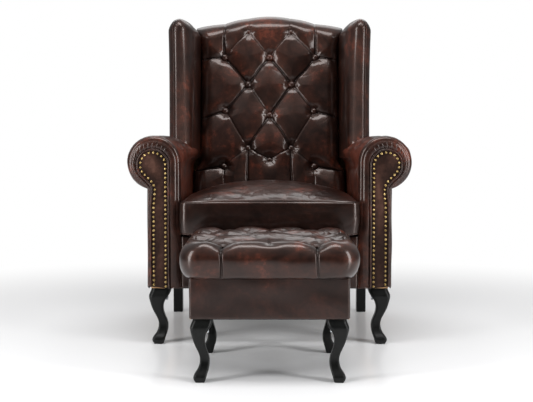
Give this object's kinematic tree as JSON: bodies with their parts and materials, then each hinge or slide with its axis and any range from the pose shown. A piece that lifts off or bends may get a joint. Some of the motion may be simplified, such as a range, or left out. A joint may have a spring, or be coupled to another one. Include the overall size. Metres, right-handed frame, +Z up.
{
  "type": "wing chair with footstool",
  "caption": "High-backed button-tufted leather wing armchair with rolled nailed arms, loose crowned cushion and cabriole legs, with a matching tufted footstool.",
  "frame": {"origin": "on the floor, in the middle of the ground that chair and footstool cover", "axes": "+X to the right seen from the front, +Y from the footstool to the back of the chair, +Z up"},
  "size_m": [0.84, 1.2694, 1.043],
  "materials": {
    "oxblood_leather": "antiqued oxblood-brown leather, glossy, darker in the folds",
    "facing_leather": "the same hide stretched flat over the arm facings, browner and duller",
    "antique_brass": "aged brass upholstery nails",
    "black_lacquer": "satin black lacquered beech",
    "beech": "planed beech frame, unfinished",
    "spring_steel": "drawn zigzag spring wire",
    "bolt_steel": "zinc-plated hanger bolts",
    "webbing": "woven jute webbing",
    "foam_and_felt": "upholstery foam and felt",
    "black_cloth": "black spunbond cloth"
  },
  "bodies": {
    "root": {"arm_cover_left": "oxblood_leather", "arm_cover_right": "oxblood_leather", "arm_padding_left": "foam_and_felt", "arm_padding_right": "foam_and_felt", "arm_post_left": "beech", "arm_post_right": "beech", "arm_rail_left": "beech", "arm_rail_right": "beech", "back_buttons": "oxblood_leather", "back_cover": "oxblood_leather", "back_foam": "foam_and_felt", "back_lower_rail": "beech", "back_post_left": "beech", "back_post_right": "beech", "back_seat_rail": "beech", "back_webbing": "webbing", "corner_blocks": "beech", "crest_pad": "oxblood_leather", "crest_rail": "beech", "dust_cover": "black_cloth", "facing_left": "facing_leather", "facing_nails": "antique_brass", "facing_right": "facing_leather", "front_border": "oxblood_leather", "front_leg_left": "black_lacquer", "front_leg_right": "black_lacquer", "front_seat_rail": "beech", "leg_bolts": "bolt_steel", "outside_arm_left": "oxblood_leather", "outside_arm_right": "oxblood_leather", "outside_back": "oxblood_leather", "rear_leg_left": "black_lacquer", "rear_leg_right": "black_lacquer", "seat_deck": "foam_and_felt", "seat_springs": "spring_steel", "side_rail_left": "beech", "side_rail_right": "beech", "spring_clips": "spring_steel", "wing_cover_left": "oxblood_leather", "wing_cover_right": "oxblood_leather", "wing_frame_left": "beech", "wing_frame_right": "beech", "wing_padding_left": "foam_and_felt", "wing_padding_right": "foam_and_felt"},
    "cushion": {"seat_cushion_core": "foam_and_felt", "seat_cushion_cover": "oxblood_leather"},
    "footstool": {"stool_border": "oxblood_leather", "stool_buttons": "oxblood_leather", "stool_corner_blocks": "beech", "stool_cover": "oxblood_leather", "stool_dust_cover": "black_cloth", "stool_end_rails": "beech", "stool_foam": "foam_and_felt", "stool_front_leg_left": "black_lacquer", "stool_front_leg_right": "black_lacquer", "stool_leg_bolts": "bolt_steel", "stool_rear_leg_left": "black_lacquer", "stool_rear_leg_right": "black_lacquer", "stool_side_rails": "beech", "stool_webbing": "webbing"}
  },
  "joints": [
    {"name": "cushion_lift", "type": "slide", "parent": "root", "child": "cushion", "axis": [0, 0, 1], "range_m": [0, 0.09]},
    {"name": "footstool_slide", "type": "slide", "parent": "root", "child": "footstool", "axis": [0, -1, 0], "range_m": [0, 0.5]}
  ]
}
